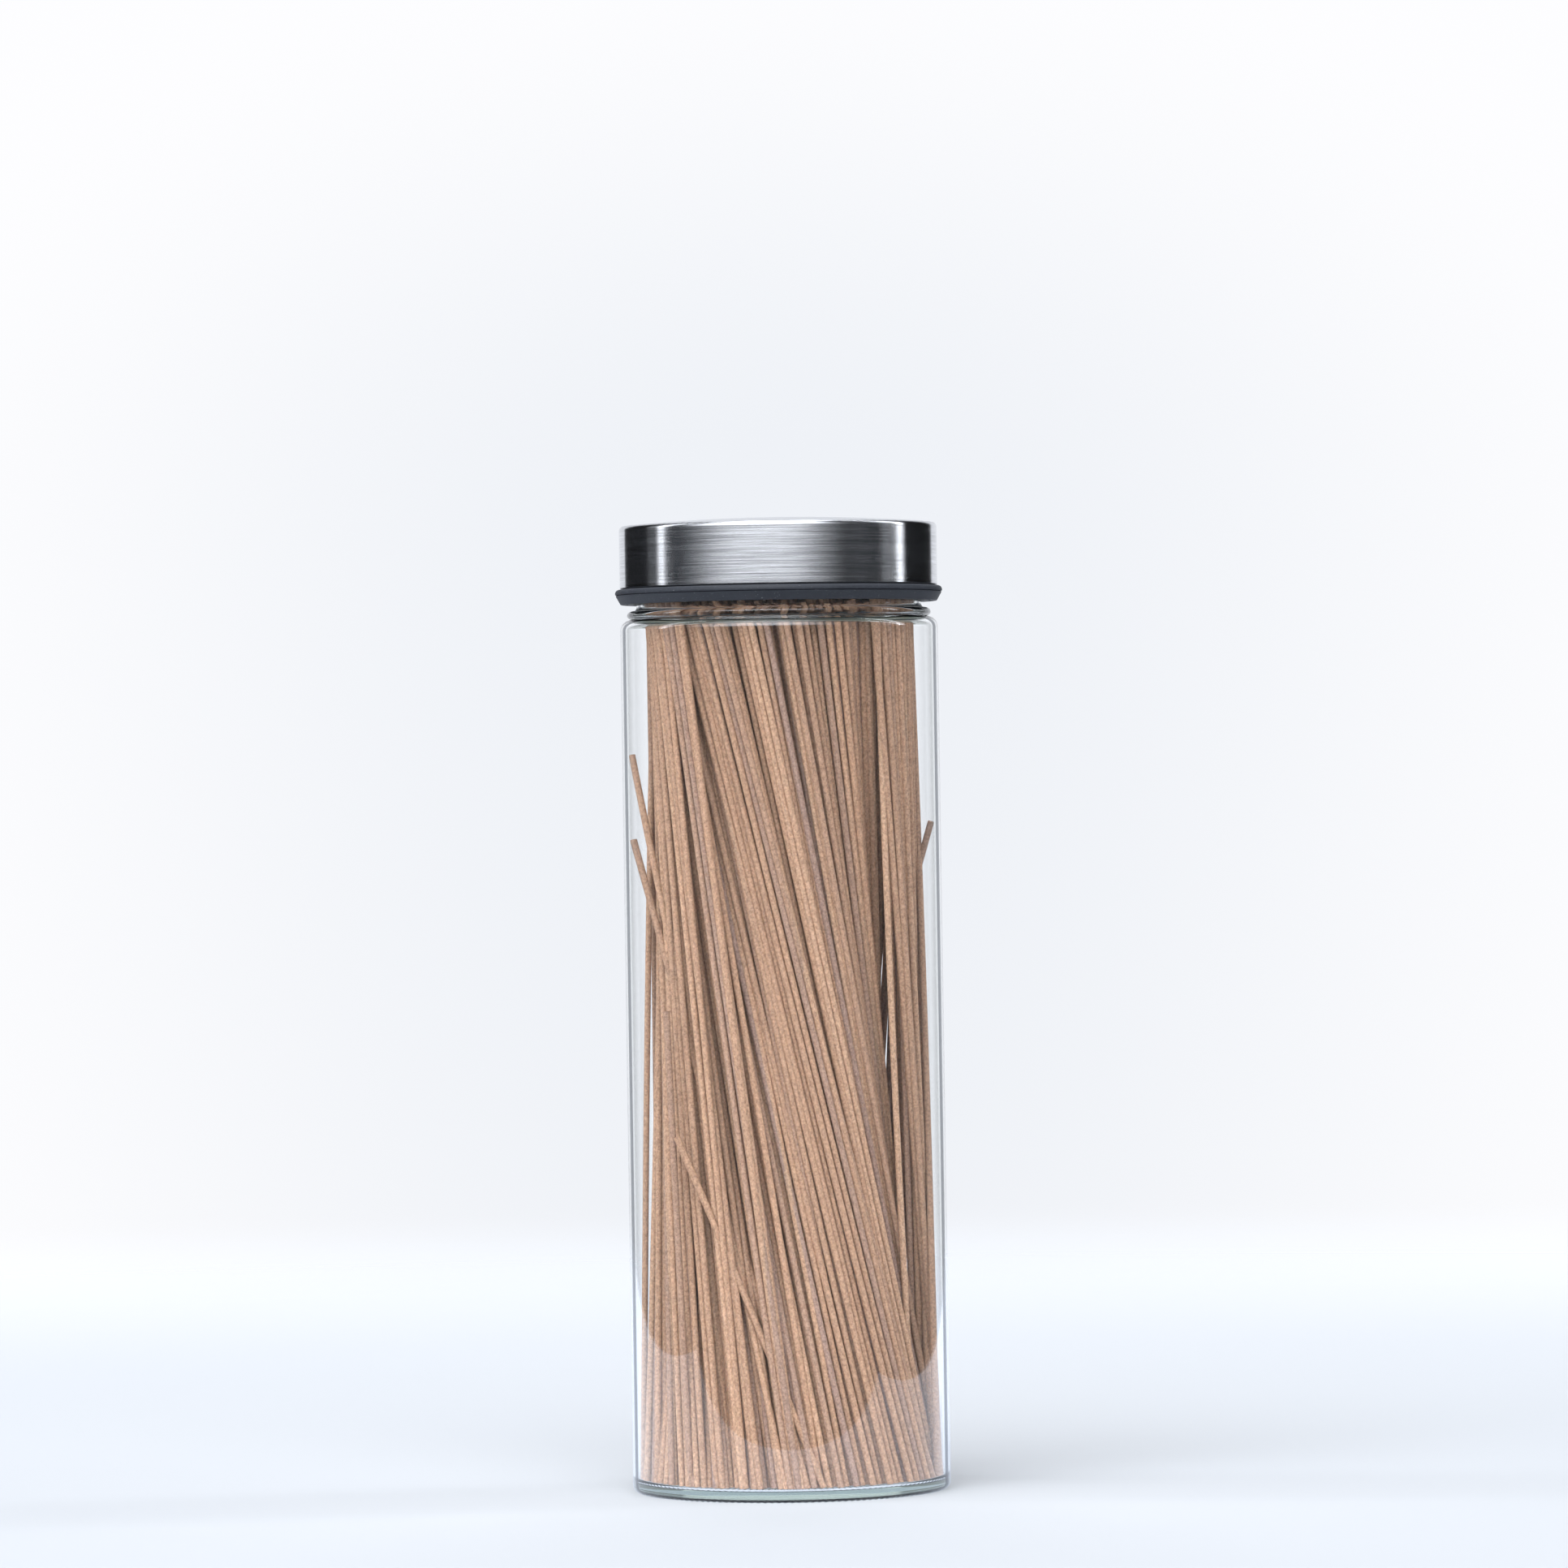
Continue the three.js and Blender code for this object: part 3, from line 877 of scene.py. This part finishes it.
def sealProfile():
    s = sealSet
    height = s["top"] - s["bottom"]
    pitch = height / s["fins"]
    points = [(s["foot"], s["bottom"]), (s["base"], s["bottom"])]
    for i in range(s["fins"]):
        middle = s["bottom"] + pitch * (i + 0.5)
        points.append((s["base"], middle - s["finRoot"] / 2))
        tip = middle + s["lean"]
        points += arcPoints(s["reach"] - s["finTip"] / 2, tip - s["finTip"] / 4,
                            s["finTip"] / 2, s["finTip"] / 2, -90, 90, 6)
        points.append((s["base"], middle + s["finRoot"] / 2))
    points += [(s["base"], s["top"]), (s["foot"], s["top"])]
    return points


def addSeal():
    seal = turnedMesh("seal_silicone", sealProfile(), sealSet["turns"], ringed=True, sharpAngle=35)
    material = siliconeMaterial("pale silicone", sealSet)
    finishPiece(seal, "lid", material, ["plug_seal"])


# ---- pasta in the jar ----

pastaSet = {
    "thickness": 1.96 * mm,
    "pitch": 3.08 * mm,        # spacing of the strands where they stand on the floor
    "jitter": 0.15 * mm,
    "twist": 92,               # how far the bundle turns from its foot to its top, in degrees
    "twistSpread": 1.6,
    "topShare": 0.865,         # how much the bundle narrows towards the neck
    "footReach": 43.1 * mm,
    "length": 0.2575,
    "lengthSpread": 1.5 * mm,
    "bow": 0.5 * mm,
    "fans": [
        # angles in degrees as below, and inset in millimetres from the reach of the feet
        {"count": 20, "firstTop": 148, "lastTop": 222, "twist": 54, "twistSpread": 5,
         "inset": (0, 1.2)},
        {"count": 16, "firstTop": 314, "lastTop": 378, "twist": 40, "twistSpread": 8,
         "inset": (0, 1.2)},
        {"count": 14, "firstTop": 150, "lastTop": 214, "twist": 64, "twistSpread": 8,
         "inset": (2.4, 6.5)},
        {"count": 22, "firstTop": 318, "lastTop": 384, "twist": 44, "twistSpread": 8,
         "inset": (2.4, 7.5)},
    ],
    "fanTop": (37.4, 38.3),    # where the fans' tops lean on the neck, in millimetres
    "fanTurnSpread": 0.5,
    "topSpread": 0.4 * mm,
    "gap": 0.3 * mm,           # between the strands and the glass
    "rowShare": 0.866,         # rows of round strands nest this much closer than their pitch
    "thicknessShare": (0.94, 1.03),
    "points": 13,
    "sides": {"outer": 10, "core": 8, "stray": 12},
    "middleReach": 34 * mm,
    "coreReach": 22 * mm,
    "seed": 11,
}
pastaLook = {
    "tones": [(0.0, (0.29, 0.195, 0.162)), (0.15, (0.325, 0.209, 0.154)),
              (0.3, (0.38, 0.233, 0.152)), (0.7, (0.418, 0.253, 0.162)),
              (1.0, (0.465, 0.293, 0.192))],
    "grain": (1500, 1500, 1300),
    "grainShades": [(0.34, (0.66, 0.63, 0.63)), (0.66, (1.34, 1.35, 1.38))],
    "cloud": (160, 160, 25),
    "bran": (1500, 1500, 1100),
    "branRange": (0.64, 0.72),
    "branShare": 0.6,
    "branTone": (0.30, 0.17, 0.10),
    "roughness": (0.55, 0.8),
    "shine": 0.3,
    "glowThrough": 0.2,        # light that soaks into a strand, and how far
    "glowReach": (1.0, 0.5, 0.22),
    "glowScale": 0.9 * mm,
    "bump": 0.5,
    "bumpDepth": 0.12 * mm,
}
# Short or strayed strands that lie against the glass. Angles are in degrees about the
# jar's axis, 270 towards the camera, and a tip's height is in millimetres.
strayStrands = [
    {"tipAngle": 184, "tipRadius": 43.2, "tip": 213.5, "footAngle": 268, "footRadius": 42.5},
    {"tipAngle": 189, "tipRadius": 43.2, "tip": 189, "footAngle": 276, "footRadius": 42.8},
    {"tipAngle": 218, "tipRadius": 42.5, "tip": 140, "footAngle": 228, "footRadius": 42.6},
    {"tipAngle": 224, "tipRadius": 43.2, "tip": 104, "footAngle": 282, "footRadius": 43.2},
    {"tipAngle": 356, "tipRadius": 43.2, "tip": 193, "footAngle": 104, "footRadius": 42},
    {"tipAngle": 172, "tipRadius": 38.2, "tip": 257, "footAngle": 155, "footRadius": 42.9},
    {"tipAngle": 164, "tipRadius": 38.0, "tip": 256, "footAngle": 187, "footRadius": 43.0},
    {"tipAngle": 8, "tipRadius": 38.2, "tip": 257, "footAngle": 346, "footRadius": 43.2},
    {"tipAngle": 5, "tipRadius": 38.2, "tip": 255, "footAngle": 343, "footRadius": 43.2},
    {"tipAngle": 18, "tipRadius": 38.2, "tip": 255, "footAngle": 12, "footRadius": 43.2},
    {"tipAngle": 352, "tipRadius": 38.0, "tip": 256, "footAngle": 24, "footRadius": 43.0},
    {"tipAngle": 26, "tipRadius": 38.0, "tip": 256, "footAngle": 350, "footRadius": 41.5},
    {"tipAngle": 40, "tipRadius": 38.0, "tip": 256, "footAngle": 352, "footRadius": 43.0},
    {"tipAngle": 335, "tipRadius": 38.2, "tip": 256, "footAngle": 25, "footRadius": 43.0},
]


def footHeight(radius):
    # strands near the wall stand on the curve inside the base
    edge = radius + pastaSet["thickness"] / 2 - (jarInside - jarSet["insideRound"])
    if edge <= 0:
        return jarSet["floor"] + pastaSet["gap"]
    edge = min(edge, 0.8 * jarSet["insideRound"])
    rise = jarSet["insideRound"] - math.sqrt(jarSet["insideRound"] ** 2 - edge ** 2)
    return jarSet["floor"] + pastaSet["gap"] + rise


def polar(radius, degrees):
    angle = math.radians(degrees)
    return radius * math.cos(angle), radius * math.sin(angle)


def bundledStrands(chance):
    p = pastaSet
    strands = []
    reach = p["footReach"]
    topReach = jarSet["neckInside"] - p["thickness"] / 2 - p["gap"]
    rows = int(reach / (p["pitch"] * p["rowShare"])) + 1
    for row in range(-rows, rows + 1):
        for column in range(-rows - 2, rows + 3):
            x = (column + 0.5 * (row % 2)) * p["pitch"] + chance.gauss(0, p["jitter"])
            y = row * p["pitch"] * p["rowShare"] + chance.gauss(0, p["jitter"])
            radius = math.hypot(x, y)
            if radius > reach:
                continue
            turn = math.degrees(math.atan2(y, x)) - chance.gauss(p["twist"], p["twistSpread"])
            topRadius = radius * p["topShare"] + chance.gauss(0, p["topSpread"])
            top = polar(min(topRadius, topReach), turn)
            strands.append({"foot": (x, y, footHeight(radius)), "top": top, "radius": radius,
                            "length": p["length"] + chance.gauss(0, p["lengthSpread"])})
    return strands


def fanStrands(fan, chance):
    # strands at the sides that turn less, and so stand outside the bundle's waist
    p = pastaSet
    strands = []
    for i in range(fan["count"]):
        turn = fan["firstTop"] + (fan["lastTop"] - fan["firstTop"]) * i / (fan["count"] - 1)
        turn += chance.gauss(0, p["fanTurnSpread"])
        footTurn = turn + chance.gauss(fan["twist"], fan["twistSpread"])
        radius = p["footReach"] - chance.uniform(*fan["inset"]) * mm
        x, y = polar(radius, footTurn)
        strands.append({"foot": (x, y, footHeight(radius)), "radius": radius,
                        "top": polar(chance.uniform(*p["fanTop"]) * mm, turn),
                        "length": p["length"] + chance.gauss(0, p["lengthSpread"])})
    return strands


def strandLine(strand, chance):
    # a straight strand with a slight natural bow
    x, y, z = strand["foot"]
    topX, topY = strand["top"]
    sideways = math.hypot(topX - x, topY - y)
    if "tip" in strand:
        topZ = strand["tip"]
    else:
        topZ = z + math.sqrt(strand["length"] ** 2 - sideways ** 2)
    bowAngle = chance.uniform(0, 2 * math.pi)
    bow = chance.gauss(0, pastaSet["bow"])
    line = []
    for i in range(pastaSet["points"]):
        share = i / (pastaSet["points"] - 1)
        bend = bow * math.sin(math.pi * share)
        line.append((x + (topX - x) * share + bend * math.cos(bowAngle),
                     y + (topY - y) * share + bend * math.sin(bowAngle),
                     z + (topZ - z) * share))
    return line


def tubeAlong(line, sides, radius, verts, faces):
    first = len(verts)
    way = Vector(line[-1]) - Vector(line[0])
    right = way.cross(Vector((0.3, 0.9, 0.1))).normalized()
    front = way.cross(right).normalized()
    for point in line:
        for k in range(sides):
            angle = 2 * math.pi * k / sides
            offset = right * (radius * math.cos(angle)) + front * (radius * math.sin(angle))
            verts.append(tuple(Vector(point) + offset))
    for i in range(len(line) - 1):
        for k in range(sides):
            n = (k + 1) % sides
            a = first + i * sides
            faces.append((a + k, a + sides + k, a + sides + n, a + n))
    last = first + (len(line) - 1) * sides
    faces.append(tuple(first + k for k in range(sides)))
    faces.append(tuple(last + sides - 1 - k for k in range(sides)))


def pastaMesh(name, strands, chance, material, sides):
    verts = []
    faces = []
    tones = []
    for strand in strands:
        before = len(verts)
        radius = pastaSet["thickness"] / 2 * chance.uniform(*pastaSet["thicknessShare"])
        tubeAlong(strandLine(strand, chance), sides, radius, verts, faces)
        tone = chance.random()
        tones += [tone] * (len(verts) - before)
    piece = meshObject(name, verts, faces, 60)
    layer = piece.data.attributes.new("strandTone", "FLOAT", "POINT")
    layer.data.foreach_set("value", tones)
    finishPiece(piece, "jar", material)
    return piece


def pastaMaterial():
    k = pastaLook
    material, tree, shader = newMaterial("wholewheat pasta")
    own = addNode(tree, "ShaderNodeAttribute", attribute_name="strandTone")
    strandTone = ramp(tree, own.outputs["Fac"], k["tones"])
    grain = stretchedNoise(tree, k["grain"], 3.0, 0.7)
    cloud = stretchedNoise(tree, k["cloud"], 3.0)
    bran = stretchedNoise(tree, k["bran"], 1.0, 0.5)
    shade = ramp(tree, grain.outputs[0], k["grainShades"])
    mix = addNode(tree, "ShaderNodeMix", data_type="RGBA", blend_type="MULTIPLY")
    mix.inputs[0].default_value = 1.0
    tree.links.new(strandTone.outputs["Color"], mix.inputs[6])
    tree.links.new(shade.outputs["Color"], mix.inputs[7])
    flecks = addNode(tree, "ShaderNodeMix", data_type="RGBA")
    tree.links.new(spread(tree, bran.outputs[0], 0, k["branShare"], *k["branRange"]),
                   flecks.inputs[0])
    tree.links.new(mix.outputs[2], flecks.inputs[6])
    flecks.inputs[7].default_value = (*k["branTone"], 1)
    tree.links.new(flecks.outputs[2], shader.inputs["Base Color"])
    tree.links.new(spread(tree, cloud.outputs[0], *k["roughness"]), shader.inputs["Roughness"])
    shader.inputs["Specular IOR Level"].default_value = k["shine"]
    shader.inputs["Subsurface Weight"].default_value = k["glowThrough"]
    shader.inputs["Subsurface Radius"].default_value = k["glowReach"]
    shader.inputs["Subsurface Scale"].default_value = k["glowScale"]
    bump(tree, shader, grain.outputs[0], k["bump"], k["bumpDepth"])
    return material


def addPasta():
    chance = random.Random(pastaSet["seed"])
    material = pastaMaterial()
    strands = bundledStrands(chance)
    middleReach = pastaSet["middleReach"]
    coreReach = pastaSet["coreReach"]
    shell = [s for s in strands if s["radius"] > middleReach]
    middle = [s for s in strands if coreReach < s["radius"] <= middleReach]
    core = [s for s in strands if s["radius"] <= coreReach]
    stray = []
    for fan in pastaSet["fans"]:
        stray += fanStrands(fan, chance)
    for s in strayStrands:
        radius = min(s["footRadius"] * mm, pastaSet["footReach"])
        x, y = polar(radius, s["footAngle"])
        stray.append({"foot": (x, y, footHeight(radius)), "tip": s["tip"] * mm,
                      "top": polar(s["tipRadius"] * mm, s["tipAngle"])})
    sides = pastaSet["sides"]
    pastaMesh("pasta_outer", shell, chance, material, sides["outer"])
    pastaMesh("pasta_middle", middle, chance, material, sides["outer"])
    pastaMesh("pasta_core", core, chance, material, sides["core"])
    pastaMesh("pasta_stray", stray, chance, material, sides["stray"])
    print("pasta strands:", len(strands) + len(stray))


# ---- putting it together ----

addCamera()
addSurroundings()
addLamps()
addFloor()
print("studio ready")
addJar()
print("jar ready")
addCap()
addRing()
addCore()
addSeal()
print("lid ready")
addPasta()
print("pasta ready")
